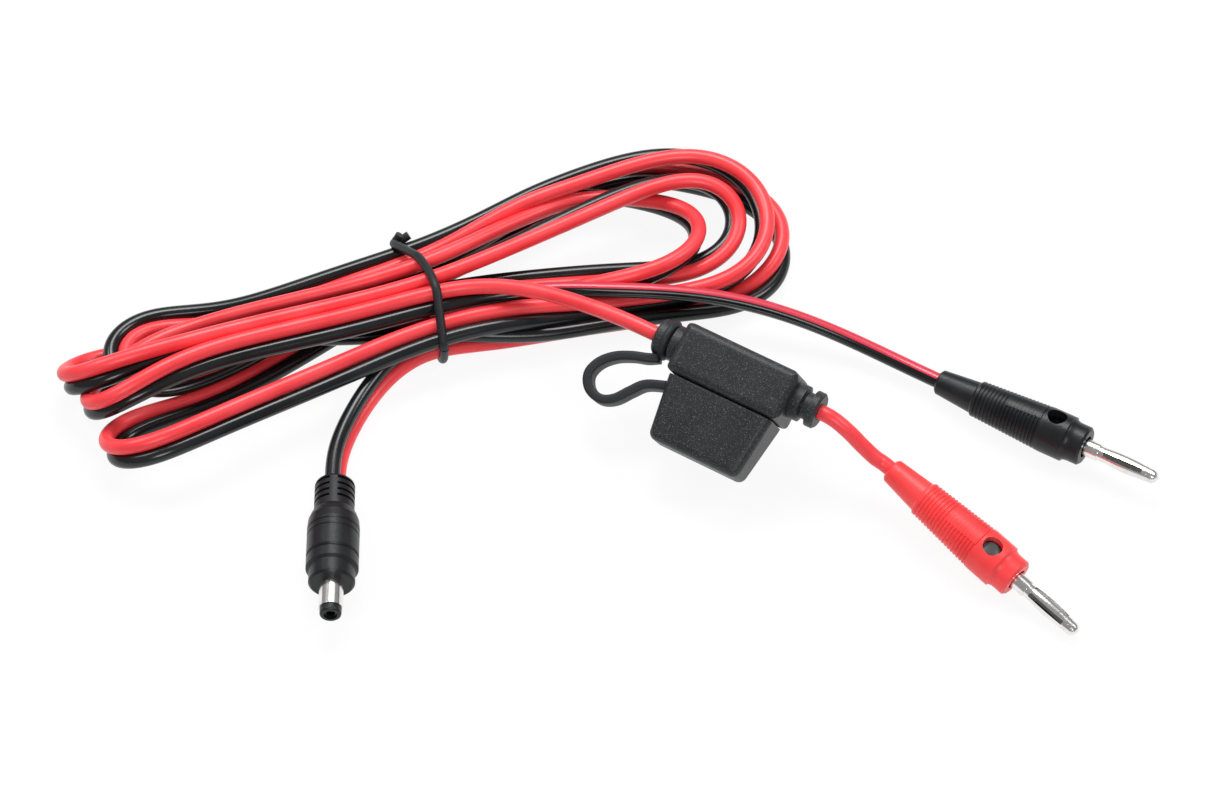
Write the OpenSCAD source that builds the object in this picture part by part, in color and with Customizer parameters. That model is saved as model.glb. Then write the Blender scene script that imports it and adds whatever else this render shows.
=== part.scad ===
// Banana-to-DC power cable, lying as it is sold: a hank of red and black zip cord under a twist
// tie, a DC barrel plug, an in-line blade-fuse holder with a tethered cap on the red lead, and a
// red and a black 4 mm stackable banana plug. Millimetres, +Z up, lying on the plane z = 0.

/* [Cable] */
// Outer diameter of one insulated conductor
wire_d = 3.6; // [3:0.1:4]
// Diameter of the twist tie's coated wire
tie_d = 1.9; // [1.4:0.1:2.4]

/* [DC plug] */
// Outer diameter of the metal barrel
barrel_d = 5.5; // [5.2:0.1:6]
// Length of the metal barrel in front of the collar
barrel_len = 6.9; // [6:0.1:10]
// Length of the insulating ring at the barrel's tip
tip_len = 1.7; // [1:0.1:2.5]
// Bore of the centre contact
contact_bore_d = 2.1; // [1.8:0.05:2.3]
// Diameter of the front of the collar behind the barrel
collar_d = 10.5; // [9:0.1:11]
// Length of the collar
collar_len = 7.2; // [5:0.1:9]
// Diameter of the grip
grip_d = 11.9; // [11.6:0.1:13]
// Length of the straight part of the grip
grip_len = 8.4; // [6:0.1:12]
// Length of the shoulder between strain relief and grip
shoulder_len = 4.6; // [3:0.1:7]
// Plastic around the cable in the strain relief
relief_wall = 1; // [0.8:0.1:1.3]
// Length of the strain relief
relief_len = 8.6; // [6:0.1:14]
// Spacing of the strain relief's slots
slot_pitch = 1.7; // [1.3:0.1:2.4]
// Width of each slot
slot_w = 0.65; // [0.4:0.05:0.9]
// Depth of each slot
slot_depth = 1.2; // [0.6:0.1:1.8]

/* [Banana plugs] */
// Diameter of the contact pin
pin_d = 4; // [3.6:0.1:4.2]
// Length of the plain base of the pin in front of the shroud
pin_base_len = 3.4; // [3:0.1:6]
// Length of the spring sleeve
spring_len = 12.2; // [9:0.1:16]
// Length of the rounded nose
nose_len = 2.6; // [2:0.1:4]
// Leaves of the spring sleeve
spring_leaves = 4; // [3:1:6]
// Sheet thickness of the spring sleeve
spring_wall = 0.25; // [0.15:0.05:0.35]
// Plastic around the wire at the rear of the shroud
neck_wall = 1.15; // [0.9:0.05:1.4]
// Diameter of the front end of the shroud's neck
neck_front_d = 7.6; // [7:0.1:8]
// Length of the shroud's neck
neck_len = 10.2; // [8:0.1:16]
// Diameter of the ribbed grip where it starts
ribs_rear_d = 8.6; // [8.4:0.1:9.6]
// Diameter of the plain band in front of the ribs
band_d = 10.8; // [10.2:0.1:12]
// Length of the ribbed grip
ribs_len = 18; // [10:0.1:22]
// Spacing of the ribs
rib_pitch = 0.92; // [0.7:0.02:1.4]
// Depth of the grooves between ribs
rib_depth = 0.3; // [0.2:0.05:0.5]
// Width of the smooth panel on two sides of the ribbed grip
panel_w = 4.6; // [3:0.1:6]
// Length of the smooth panel
panel_len = 8.6; // [6:0.1:9]
// Length of the plain band
band_len = 5.4; // [5:0.1:9]
// Diameter of the front ring
ring_d = 9.3; // [9:0.1:9.9]
// Length of the waist and front ring
ring_len = 4.5; // [3.6:0.1:6]
// Diameter of the cross socket that takes another plug
socket_d = 4.1; // [3.6:0.05:4.2]
// Diameter of the metal body inside the shroud
pin_body_d = 6.6; // [6:0.1:7]

/* [Fuse holder] */
// Width of the holder's body along the wire
body_w = 29; // [27.5:0.1:34]
// Thickness of the holder's body
body_t = 14; // [13.4:0.1:17]
// Distance from the wire's axis to the body's back
body_back = 5.5; // [5:0.1:8]
// Distance from the wire's axis to the body's mouth
body_front = 6.8; // [6.6:0.1:9]
// Rounding of the body's edges
body_round = 2; // [1:0.1:2.4]
// Length of the tower that holds the fuse
tower_h = 5; // [3:0.1:7]
// Wall of the tower around the fuse
tower_wall = 1.2; // [0.8:0.1:1.3]
// Width of the cap at its rim
cap_w = 26.6; // [26:0.1:28]
// Thickness of the cap at its rim
cap_t = 12.6; // [12:0.1:13.2]
// Width of the cap at its end
cap_end_w = 23.4; // [23:0.1:26]
// Thickness of the cap at its end
cap_end_t = 10.4; // [9.6:0.1:12]
// Length of the cap
cap_len = 15.2; // [14.6:0.1:18]
// Wall at the cap's end
cap_wall = 1.6; // [1:0.1:1.8]
// Plastic around the wire in the necks
neck_ring_wall = 1.4; // [1:0.1:2]
// Length of the boss beside the body
boss_len = 2.8; // [2:0.1:4]
// Length of the groove that holds the tether's ring
groove_len = 1.6; // [1.2:0.1:3]
// Length of the end flange
flange_len = 2.1; // [1.5:0.1:3]
// Height of the boss and flange over the groove
flange_lip = 1.1; // [0.6:0.1:1.6]
// Width of the tether strap
strap_w = 5; // [3:0.1:6]
// Thickness of the tether strap
strap_t = 2.2; // [1.4:0.1:2.6]

/* [Blade fuse] */
// Width of the fuse
fuse_w = 19.1; // [18:0.1:19.4]
// Thickness of the fuse
fuse_t = 5.1; // [4.6:0.1:5.4]
// Height of the fuse's plastic case
fuse_h = 12.2; // [10:0.1:12.6]
// Width of each blade
blade_w = 5.2; // [4.6:0.1:5.4]
// Thickness of each blade
blade_t = 0.65; // [0.5:0.05:0.8]
// Length of each blade below the case
blade_len = 7; // [5:0.1:7.6]
// Distance between the blades' middles
blade_gap = 13.9; // [13:0.1:14]

/* [Hidden] */
$fn = 48;

// Gap between pieces that seat in each other, and between the cap and what it slides over
seat_gap = 0.1;
slide_gap = 0.3;
// Chamfer on the edges of moulded and turned pieces
edge = 0.5;

// Stations along the DC plug, from the rear of the strain relief to the tip
grip_z = relief_len + shoulder_len;
collar_z = grip_z + grip_len;
barrel_z = collar_z + collar_len;
tip_z = barrel_z + barrel_len;
grip_r = grip_d / 2;
relief_r = wire_d + relief_wall;
slot_rows = floor((relief_len - 2 * edge - slot_w) / slot_pitch);
spine_w = 1.8;
grip_groove = 0.2;
grip_grooves = 2;
groove_pitch = 1.7;
spigot_d = 8;
spigot_len = 3;
collar_rear_len = 3.4;
barrel_wall = 0.5;
barrel_root_len = 3;
contact_wall = 0.35;
contact_slit = 0.4;
contact_inset = 0.6;
tip_step = 0.3;
tip_r = barrel_d / 2 - tip_step;
insulator_r = barrel_d / 2 - barrel_wall - seat_gap;
contact_r = contact_bore_d / 2 + contact_wall;

// Stations along a banana plug, from the rear of the shroud to the nose
ribs_z = neck_len;
band_z = ribs_z + ribs_len;
waist_z = band_z + band_len;
shroud_len = waist_z + ring_len;
socket_back = 3.6;
socket_z = waist_z - socket_back;
base_z = shroud_len;
spring_z = base_z + pin_base_len;
nose_z = spring_z + spring_len;
plug_len = nose_z + nose_len;
wire_gap = 0.15;
wire_bore_r = wire_d / 2 + wire_gap;
neck_rear_r = wire_d / 2 + neck_wall;
panel_drop = 0.06;
rib_count = floor((ribs_len - rib_pitch) / rib_pitch);
cove_len = 1.9;
front_wall = 2;
front_gap = 0.6;
front_bore_r = pin_d / 2 + front_gap;
pin_root_r = pin_d / 2 - 0.3;
socket_rim = 0.25;
pin_body_r = pin_body_d / 2;
pin_body_len = 18;
pin_body_z = shroud_len - front_wall - pin_body_len;
cuff_len = 1.2;
cuff_r = 0.86 * pin_d / 2;
core_r = cuff_r - spring_wall - seat_gap / 2;
leaf_gap = 1.1;
nose_r = cuff_r - 0.1;
screw_d = 3;
screw_inset = 4;
screw_z = pin_body_z + screw_inset;
screw_depth = 2.2;
screw_socket_d = 1.5;

// Fuse holder: x runs along the wire, y is its thickness and z points at the cap's end
neck_r = wire_d / 2 + neck_ring_wall;
flange_r = neck_r + flange_lip;
neck_x = body_w / 2;
holder_end_x = neck_x + boss_len + groove_len + flange_len;
fuse_gap = 0.2;
tower_w = fuse_w + 2 * fuse_gap + 2 * tower_wall;
tower_t = fuse_t + 2 * fuse_gap + 2 * tower_wall;
terminal_wall = 0.6;
terminal_w = blade_w + 2 * terminal_wall + 2 * seat_gap;
terminal_t = blade_t + 2 * terminal_wall + 2 * seat_gap;
terminal_low_z = -wire_d / 2;
crimp_r = wire_d / 2 - 0.2;
cap_z = body_front + slide_gap;
cap_corner = 2;
ring_wall = 1.5;

// Where the pieces lie. Each plug's place is the middle of its rear end on the plane, with the
// heading of its axis and how far its tip dips. The heights follow from what touches the plane.
bench = [-28.8, 27.7];
dc_x = -61.8;
dc_y = -25.4;
dc_at = bench + [dc_x, dc_y];
dc_heading = -89;
dc_dip = -5.4;
red_x = 64.3;
red_y = -24.9;
red_at = bench + [red_x, red_y];
red_heading = -43.9;
red_dip = 7.8;
red_roll = 3;
black_x = 76.9;
black_y = 3.8;
black_at = bench + [black_x, black_y];
black_heading = -31.3;
black_dip = -3;
black_roll = -12;
holder_x = 30;
holder_y = -5.4;
holder_at = bench + [holder_x, holder_y];
holder_height = 20;
holder_heading = -30.5;
holder_dip = 27;
dc_height = grip_r * cos(dc_dip) + grip_z * sin(dc_dip);
function banana_height(dip) = band_d / 2 * cos(dip) + (dip > 0 ? waist_z : band_z) * sin(dip);

// The tied hank: the tie's middle, the axis of the hank and the round end of each lobe
tie_x = -43;
tie_y = 24;
tie_at = bench + [tie_x, tie_y];
hank_heading = 18;
waist_w = 26;
waist_low = tie_d + 0.1;
waist_top = 16;
waist_len_x = 12;
tie_bend_r = 5;
lobe_h = 9.6;
lobe_root_r = 11.5;
right_lobe_x = 23.5;
right_lobe_y = 44;
right_lobe = bench + [right_lobe_x, right_lobe_y];
right_lobe_r = 21.5;
left_lobe_x = -107;
left_lobe_y = 4;
left_lobe = bench + [left_lobe_x, left_lobe_y];
left_lobe_r = 21;

// Turns its children, which point up z, to lie along a heading with the tip dipping
module lay(at, height, heading, dip, roll = 0)
    translate([at.x, at.y, height]) rotate([0, 90 + dip, heading]) rotate([0, 0, roll]) children();

module lay_dc() lay(dc_at, dc_height, dc_heading, dc_dip) children();
module lay_red() lay(red_at, banana_height(red_dip), red_heading, red_dip, red_roll) children();
module lay_black() lay(black_at, banana_height(black_dip), black_heading, black_dip, black_roll) children();
module lay_holder()
    translate([holder_at.x, holder_at.y, holder_height])
        rotate([90 + holder_dip, 0, holder_heading]) children();

// Points on the axes of the pieces, for the leads that run into them
function heading_dir(heading, dip) =
    [cos(dip) * cos(heading), cos(dip) * sin(heading), -sin(dip)];
function on_axis(at, height, heading, dip, z) = [at.x, at.y, height] + z * heading_dir(heading, dip);
function on_dc(z) = on_axis(dc_at, dc_height, dc_heading, dc_dip, z);
function on_red(z) = on_axis(red_at, banana_height(red_dip), red_heading, red_dip, z);
function on_black(z) = on_axis(black_at, banana_height(black_dip), black_heading, black_dip, z);
function on_wire(x) = [holder_at.x, holder_at.y, holder_height] + x * heading_dir(holder_heading, 0);
function on_bench(points) = [for (p = points) [bench.x + p.x, bench.y + p.y, p.z]];

// Sections and swept tubes
function polar(r, a) = r * [cos(a), sin(a)];
wire_sides = 10;
wire_section = [for (i = [0 : wire_sides - 1]) polar(wire_d / 2, 360 * i / wire_sides)];
pair_section = [for (side = [1, -1], a = [0 : 45 : 180])
    [wire_d / 2 * cos(a) * side, wire_d / 2 * (1 + sin(a)) * side]];
function unit(v) = v / norm(v);
function tangent(path, i) = unit(path[min(i + 1, len(path) - 1)] - path[max(i - 1, 0)]);
function ring_at(path, i, section) =
    let (t = tangent(path, i), left = unit(cross([0, 0, 1], t)), up = cross(t, left))
    [for (q = section) path[i] + q.x * left + q.y * up];
module sweep(path, section) {
    n = len(section);
    last = len(path) - 1;
    points = [for (i = [0 : last]) each ring_at(path, i, section)];
    sides = [for (i = [0 : last - 1], k = [0 : n - 1])
        [i * n + k, i * n + (k + 1) % n, (i + 1) * n + (k + 1) % n, (i + 1) * n + k]];
    start = [for (k = [n - 1 : -1 : 0]) k];
    end = [for (k = [0 : n - 1]) last * n + k];
    polyhedron(points, concat(sides, [start, end]));
}

// Routes of the leads, from the tie outwards
dc_free = [[-45, 13.5, 4.2], [-49.5, 8, 3.9], [-53.5, 1.5, 3.7], [-57, -5.5, 3.7], [-60, -13, 3.8]];
red_free = [[-39, 23, 14.4], [-31, 23.6, 15.2], [-22, 22, 16.4], [-12, 18, 17.8], [-2, 13, 19.2]];
red_plug_free = [[51.2, -17.9, 19.6], [54.5, -19.7, 17.4], [57.6, -21.2, 14.2], [60.8, -22.8, 11.4]];
black_free = [[-39, 19.6, 11.2], [-29, 23.2, 11], [-18, 24, 11], [-6, 24.4, 11], [6, 24.4, 11],
    [18, 24, 10.8], [30, 22.6, 10.2], [42, 19.8, 8.4], [53, 16.2, 6.2], [62, 12.4, 4.4]];
lead_in = 7;
dc_route = concat(on_bench(dc_free), [on_dc(-lead_in), on_dc(0)]);
red_route = concat(on_bench(red_free),
    [on_wire(-holder_end_x - lead_in), on_wire(-holder_end_x), on_wire(-neck_x)]);
red_plug_route = concat([on_wire(neck_x), on_wire(holder_end_x)], on_bench(red_plug_free),
    [on_red(0), on_red(pin_body_z)]);
black_route = concat(on_bench(black_free), [on_black(-lead_in), on_black(0), on_black(pin_body_z)]);

// Flat shapes
module rounded_rect(w, h, r) {
    square([w - 2 * r, h], center = true);
    square([w, h - 2 * r], center = true);
    for (x = [-1, 1], y = [-1, 1])
        translate([x * (w / 2 - r), y * (h / 2 - r)]) circle(r);
}

// Outline of the hank: the round end of a lobe, and the point beside the tie that follows it
function lobe_outline(lobe, r, side) =
    let (v = lobe - tie_at, turn = atan2(v.y, v.x), wrap = acos((lobe_root_r - r) / norm(v)), steps = 16)
    concat([for (i = [0 : steps]) lobe + polar(r, turn - wrap + 2 * wrap * i / steps)],
        [tie_at + side * polar(lobe_root_r, hank_heading + 90)]);

// DC plug, standing on its rear end

module dc_handle()
    color([0.07, 0.07, 0.075]) lay_dc() difference() {
        rotate_extrude() polygon(concat(
            [[0, 0], [relief_r - 2 * edge, 0]],
            [for (a = [30 : 30 : 90]) [relief_r - 2 * edge + 2 * edge * sin(a), 2 * edge * (1 - cos(a))]],
            [[relief_r, relief_len]],
            [for (a = [30 : 30 : 90])
                [relief_r + (grip_r - relief_r) * sin(a),
                    relief_len + edge + (shoulder_len - edge) * (1 - cos(a))]],
            [for (i = [1 : grip_grooves], s = [-1, 0, 1])
                [grip_r - (s == 0 ? grip_groove : 0), grip_z + (i - 0.5) * groove_pitch + s * grip_groove]],
            [[grip_r, collar_z - edge], [grip_r - edge, collar_z], [0, collar_z]]));
        for (i = [0 : slot_rows - 1]) translate([0, 0, 2 * edge + i * slot_pitch]) relief_slot();
        translate([0, 0, collar_z - spigot_len]) cylinder(d = spigot_d, h = spigot_len + 1);
    }

// One ring of slots: open on the two sides, closed by the spines above and below
module relief_slot()
    difference() {
        cylinder(r = relief_r + 1, h = slot_w);
        translate([0, 0, -1]) cylinder(r = relief_r - slot_depth, h = slot_w + 2);
        cube([3 * relief_r, spine_w, 3 * slot_w], center = true);
    }

module dc_collar()
    color([0.09, 0.09, 0.095]) lay_dc() difference() {
        translate([0, 0, collar_z]) rotate_extrude() polygon([
            [0, -spigot_len], [spigot_d / 2 - seat_gap, -spigot_len], [spigot_d / 2 - seat_gap, 0],
            [grip_r - edge, 0], [grip_r, edge], [grip_r, collar_rear_len - edge],
            [collar_d / 2, collar_rear_len], [collar_d / 2, collar_len - edge],
            [collar_d / 2 - edge, collar_len], [0, collar_len]]);
        translate([0, 0, barrel_z - barrel_root_len])
            cylinder(d = barrel_d - barrel_wall, h = barrel_root_len + 1);
    }

module dc_barrel()
    color([0.75, 0.75, 0.77]) lay_dc() difference() {
        translate([0, 0, barrel_z]) {
            cylinder(d = barrel_d, h = barrel_len);
            translate([0, 0, -barrel_root_len])
                cylinder(d = barrel_d - barrel_wall - 2 * seat_gap, h = barrel_root_len + edge);
        }
        translate([0, 0, barrel_z - barrel_root_len - 1])
            cylinder(r = insulator_r + seat_gap, h = barrel_root_len + barrel_len + 2);
    }

module dc_insulator()
    color([0.06, 0.06, 0.06]) lay_dc() difference() {
        union() {
            translate([0, 0, barrel_z - barrel_root_len])
                cylinder(r = insulator_r, h = barrel_root_len + barrel_len + edge);
            translate([0, 0, tip_z]) rotate_extrude() polygon(concat(
                [[0, 0], [tip_r, 0]],
                [for (a = [0 : 30 : 90]) [tip_r, tip_len] - edge * [1 - cos(a), 1 - sin(a)]],
                [[0, tip_len]]));
        }
        translate([0, 0, barrel_z - barrel_root_len - 1])
            cylinder(r = contact_r + seat_gap, h = barrel_root_len + barrel_len + tip_len + 2);
    }

module dc_contact()
    color([0.8, 0.68, 0.4]) lay_dc() translate([0, 0, barrel_z - barrel_root_len]) difference() {
        cylinder(r = contact_r, h = barrel_root_len + barrel_len + tip_len - contact_inset);
        translate([0, 0, barrel_root_len]) cylinder(d = contact_bore_d, h = barrel_len + tip_len);
        translate([-contact_r - 1, -contact_slit / 2, barrel_root_len + barrel_len / 2])
            cube([2 * contact_r + 2, contact_slit, barrel_len + tip_len]);
    }

// Banana plug, standing on its rear end with the cross socket along x

function ribs_r(z) = ribs_rear_d / 2 + (band_d - ribs_rear_d) / 2 * (z - ribs_z) / ribs_len;
module shroud()
    difference() {
        union() {
            rotate_extrude() polygon(concat(
                [[0, 0], [neck_rear_r - edge, 0], [neck_rear_r, edge], [neck_front_d / 2, neck_len - edge]],
                [[ribs_rear_d / 2, neck_len]],
                [for (i = [1 : rib_count], s = [-0.35, -0.1, 0.1, 0.35])
                    let (z = ribs_z + i * rib_pitch + s * rib_pitch)
                    [ribs_r(z) - (abs(s) < 0.2 ? rib_depth : 0), z]],
                [[band_d / 2, band_z]],
                [for (a = [0 : 15 : 90])
                    [band_d / 2 - (band_d - ring_d) / 2 * sin(a), waist_z + cove_len * (1 - cos(a))]],
                [[ring_d / 2, shroud_len - edge], [ring_d / 2 - edge, shroud_len], [0, shroud_len]]));
            panels();
        }
        translate([0, 0, -1]) cylinder(r = wire_bore_r, h = shroud_len);
        translate([0, 0, pin_body_z]) cylinder(r = pin_body_r + seat_gap, h = pin_body_len);
        translate([0, 0, base_z - front_wall - 1]) cylinder(r = front_bore_r, h = front_wall + 2);
        translate([0, 0, socket_z]) rotate([0, 90, 0])
            cylinder(d = socket_d + 2 * socket_rim, h = 2 * band_d, center = true);
    }

// The smooth panels fill the grooves in line with the cross socket, a little below the ribs' tops
module panels()
    intersection() {
        translate([0, 0, ribs_z + rib_pitch])
            cylinder(r1 = ribs_r(ribs_z + rib_pitch) - panel_drop,
                r2 = ribs_r(band_z - rib_pitch) - panel_drop, h = ribs_len - 2 * rib_pitch);
        translate([0, 0, band_z - 1.5 * rib_pitch - panel_len / 2])
            cube([2 * band_d, panel_w, panel_len], center = true);
    }

module pin()
    difference() {
        union() {
            translate([0, 0, pin_body_z]) cylinder(r = pin_body_r, h = pin_body_len);
            translate([0, 0, base_z - front_wall - edge]) cylinder(r = pin_root_r, h = front_wall + 2 * edge);
            translate([0, 0, base_z]) cylinder(d = pin_d, h = pin_base_len);
            translate([0, 0, spring_z - edge]) cylinder(r = core_r, h = spring_len + 2 * edge);
            translate([0, 0, nose_z]) rotate_extrude() polygon(concat(
                [[0, 0], [nose_r, 0]],
                [for (a = [0 : 15 : 90]) [nose_r * cos(a), nose_len - nose_r + nose_r * sin(a)]]));
        }
        translate([0, 0, socket_z]) rotate([0, 90, 0]) cylinder(d = socket_d, h = 2 * band_d, center = true);
        translate([pin_body_r - screw_depth, 0, screw_z]) rotate([0, 90, 0])
            cylinder(d = screw_d + 2 * seat_gap, h = 2 * screw_depth);
    }

// Sleeve of bowed leaves between two cuffs
module spring() {
    steps = 12;
    bow = pin_d / 2 - cuff_r;
    leaf_len = spring_len - 2 * cuff_len;
    function bow_r(i) = cuff_r + bow * sin(180 * i / steps);
    translate([0, 0, spring_z]) difference() {
        rotate_extrude() polygon(concat(
            [[cuff_r - spring_wall, 0], [cuff_r, 0]],
            [for (i = [0 : steps]) [bow_r(i), cuff_len + leaf_len * i / steps]],
            [[cuff_r, spring_len], [cuff_r - spring_wall, spring_len]],
            [for (i = [steps : -1 : 0]) [bow_r(i) - spring_wall, cuff_len + leaf_len * i / steps]]));
        for (i = [0 : spring_leaves - 1]) rotate([0, 0, 360 * (i + 0.5) / spring_leaves])
            translate([0, -leaf_gap / 2, cuff_len]) cube([pin_d, leaf_gap, leaf_len]);
    }
}

// Hollow-head clamp screw, seated on the bottom of its hole in the metal body
module screw()
    translate([pin_body_r - screw_depth, 0, screw_z]) rotate([0, 90, 0]) difference() {
        cylinder(d = screw_d, h = screw_depth - edge);
        translate([0, 0, screw_depth / 3]) cylinder(d = screw_socket_d, h = screw_depth, $fn = 6);
    }

module red_shroud() { color([0.93, 0.16, 0.16]) lay_red() shroud(); }
module red_pin() { color([0.75, 0.75, 0.77]) lay_red() pin(); }
module red_spring() { color([0.8, 0.8, 0.82]) lay_red() spring(); }
module red_screw() { color([0.5, 0.5, 0.52]) lay_red() screw(); }
module black_shroud() { color([0.08, 0.08, 0.085]) lay_black() shroud(); }
module black_pin() { color([0.75, 0.75, 0.77]) lay_black() pin(); }
module black_spring() { color([0.8, 0.8, 0.82]) lay_black() spring(); }
module black_screw() { color([0.5, 0.5, 0.52]) lay_black() screw(); }

// Fuse holder

// Block with rounded edges, where its outlines along the three axes cross
module rounded_block(w, t, h, r)
    intersection() {
        linear_extrude(h) rounded_rect(w, t, r);
        translate([0, 0, h / 2]) rotate([90, 0, 0])
            linear_extrude(2 * t, center = true) rounded_rect(w, h, r);
        translate([0, 0, h / 2]) rotate([90, 0, 90])
            linear_extrude(2 * w, center = true) rounded_rect(t, h, r);
    }

// Neck of the holder along x: boss, groove for the tether's ring, and end flange
module neck()
    rotate([0, 90, 0]) rotate_extrude() polygon([
        [0, -body_round], [flange_r, -body_round], [flange_r, boss_len - edge], [neck_r, boss_len],
        [neck_r, boss_len + groove_len], [flange_r, boss_len + groove_len],
        [flange_r, boss_len + groove_len + flange_len - edge],
        [flange_r - edge, boss_len + groove_len + flange_len], [0, boss_len + groove_len + flange_len]]);

module holder_body()
    color([0.12, 0.125, 0.13]) lay_holder() difference() {
        union() {
            translate([0, 0, -body_back]) rounded_block(body_w, body_t, body_back + body_front, body_round);
            linear_extrude(body_front + tower_h) rounded_rect(tower_w, tower_t, 2 * edge);
            for (side = [0, 180]) rotate([0, 0, side]) translate([neck_x, 0, 0]) neck();
        }
        translate([0, 0, body_front])
            linear_extrude(tower_h + 1)
                square([fuse_w + 2 * fuse_gap, fuse_t + 2 * fuse_gap], center = true);
        for (side = [-1, 1]) {
            translate([side * blade_gap / 2, 0, (terminal_low_z - seat_gap + body_front + 1) / 2])
                cube([terminal_w + 2 * seat_gap, terminal_t + 2 * seat_gap,
                    body_front + 1 - terminal_low_z + seat_gap], center = true);
            translate([side * blade_gap / 2, 0, 0]) rotate([0, side * 90, 0])
                cylinder(r = wire_bore_r, h = holder_end_x);
        }
    }

module fuse_cap()
    color([0.13, 0.135, 0.14]) lay_holder() translate([0, 0, cap_z]) difference() {
        hull() for (x = [-1, 1], y = [-1, 1]) {
            translate([x * (cap_w / 2 - cap_corner), y * (cap_t / 2 - cap_corner), 0])
                cylinder(r = cap_corner, h = edge, $fn = 24);
            translate([x * (cap_end_w / 2 - cap_corner), y * (cap_end_t / 2 - cap_corner), 0])
                translate([0, 0, cap_len - cap_corner]) sphere(cap_corner, $fn = 24);
        }
        translate([0, 0, -1]) linear_extrude(tower_h + 1)
            square([tower_w + 2 * slide_gap, tower_t + 2 * slide_gap], center = true);
        linear_extrude(cap_len - cap_wall)
            square([fuse_w + 2 * slide_gap, fuse_t + 2 * slide_gap], center = true);
    }

// Strap from the ring in the left neck's groove, round a free loop and back to the cap's side
ring_x = -(neck_x + boss_len + groove_len / 2);
strap_seat = 2.6;
strap_end_x = -(cap_w / 2 - (cap_w - cap_end_w) / 2 * strap_seat / cap_len) - slide_gap;
// The loop between its ends: how far out from the ring, and how far towards the cap's end
strap_loop = [[2.8, 6], [6, 7], [9.6, 8.8], [12.4, 11.6], [13.4, 15], [11.6, 18], [8.2, 19],
    [5.2, 17.6], [2.6, 14.4], [0, 11.6]];
strap_line = concat([[ring_x, neck_r + ring_wall]], [for (p = strap_loop) [ring_x - p.x, p.y]],
    [[strap_end_x, cap_z + strap_seat]]);
strap_last = len(strap_line) - 1;
strap_steps = 4;
function strap_at(i, t) =
    let (a = strap_line[max(i - 1, 0)], b = strap_line[i], c = strap_line[i + 1],
        d = strap_line[min(i + 2, strap_last)])
    b + t / 2 * (c - a + t * (2 * a - 5 * b + 4 * c - d + t * (3 * b - a - 3 * c + d)));
strap_middle = concat([strap_line[0]],
    [for (i = [0 : strap_last - 1], k = [1 : strap_steps]) strap_at(i, k / strap_steps)]);
function strap_side(i) = let (d = tangent(strap_middle, i)) strap_t / 2 * [-d.y, d.x];
module cap_tether()
    color([0.1, 0.1, 0.105]) lay_holder() {
        ends = len(strap_middle) - 1;
        translate([ring_x, 0, 0]) rotate([0, 90, 0]) difference() {
            cylinder(r = neck_r + ring_wall, h = groove_len - 2 * seat_gap, center = true);
            cylinder(r = neck_r + seat_gap, h = 2 * groove_len, center = true);
        }
        rotate([90, 0, 0]) linear_extrude(strap_w, center = true) difference() {
            polygon(concat(
                [for (i = [0 : ends]) strap_middle[i] + strap_side(i)],
                [for (i = [ends : -1 : 0]) strap_middle[i] - strap_side(i)]));
            translate([-holder_end_x - seat_gap, 0]) square([flange_len + 2 * seat_gap, flange_r + seat_gap]);
            translate([-slide_gap, cap_z]) polygon([[0, -edge], [-cap_w / 2, -edge], [-cap_w / 2, 0],
                [-cap_end_w / 2, cap_len], [0, cap_len]]);
        }
    }

module fuse_case()
    color([0.85, 0.55, 0.1], 0.9) lay_holder() translate([0, 0, body_front]) difference() {
        linear_extrude(fuse_h) rounded_rect(fuse_w, fuse_t, edge);
        translate([0, 0, -1]) linear_extrude(fuse_h / 2 + 1)
            square([blade_gap + blade_w + 2 * seat_gap, blade_t + 2 * seat_gap], center = true);
    }

module fuse_blades()
    color([0.72, 0.72, 0.74]) lay_holder() translate([0, 0, body_front]) rotate([90, 0, 0])
        linear_extrude(blade_t, center = true) {
            for (side = [-1, 1]) translate([side * blade_gap / 2 - blade_w / 2, -blade_len])
                square([blade_w, blade_len + fuse_h / 2]);
            translate([0, fuse_h / 2 - blade_t]) square([blade_gap, 2 * blade_t], center = true);
        }

// Clip round one blade, with the crimp that the wire's end stands in
module terminal(side)
    color([0.8, 0.66, 0.35]) lay_holder() difference() {
        union() {
            translate([side * blade_gap / 2, 0, (terminal_low_z + body_front) / 2])
                cube([terminal_w, terminal_t, body_front - terminal_low_z], center = true);
            translate([side * blade_gap / 2, 0, 0]) rotate([0, side * 90, 0])
                cylinder(r = crimp_r, h = neck_x - blade_gap / 2);
        }
        translate([side * blade_gap / 2, 0, body_front])
            cube([blade_w + 2 * seat_gap, blade_t + 2 * seat_gap, 2 * (blade_len + seat_gap)], center = true);
    }
module terminal_in() { terminal(-1); }
module terminal_out() { terminal(1); }

// Cable

module on_tie() translate([tie_at.x, tie_at.y, 0]) rotate([0, 0, hank_heading]) children();

module cable_hank()
    color([0.75, 0.12, 0.14]) {
        difference() {
            linear_extrude(lobe_h)
                polygon(concat(lobe_outline(right_lobe, right_lobe_r, 1),
                    lobe_outline(left_lobe, left_lobe_r, -1)));
            on_tie() cube([tie_d + 4 * seat_gap, 3 * waist_w, 3 * lobe_h], center = true);
        }
        on_tie() translate([0, 0, (waist_low + waist_top) / 2]) rotate([90, 0, 90])
            linear_extrude(waist_len_x, center = true)
                rounded_rect(waist_w, waist_top - waist_low, tie_bend_r);
    }

module dc_lead() { color([0.75, 0.12, 0.14]) sweep(dc_route, pair_section); }
module red_lead() { color([0.93, 0.16, 0.18]) sweep(red_route, wire_section); }
module red_plug_lead() { color([0.93, 0.16, 0.18]) sweep(red_plug_route, wire_section); }
module black_lead() { color([0.08, 0.08, 0.08]) sweep(black_route, wire_section); }

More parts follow.
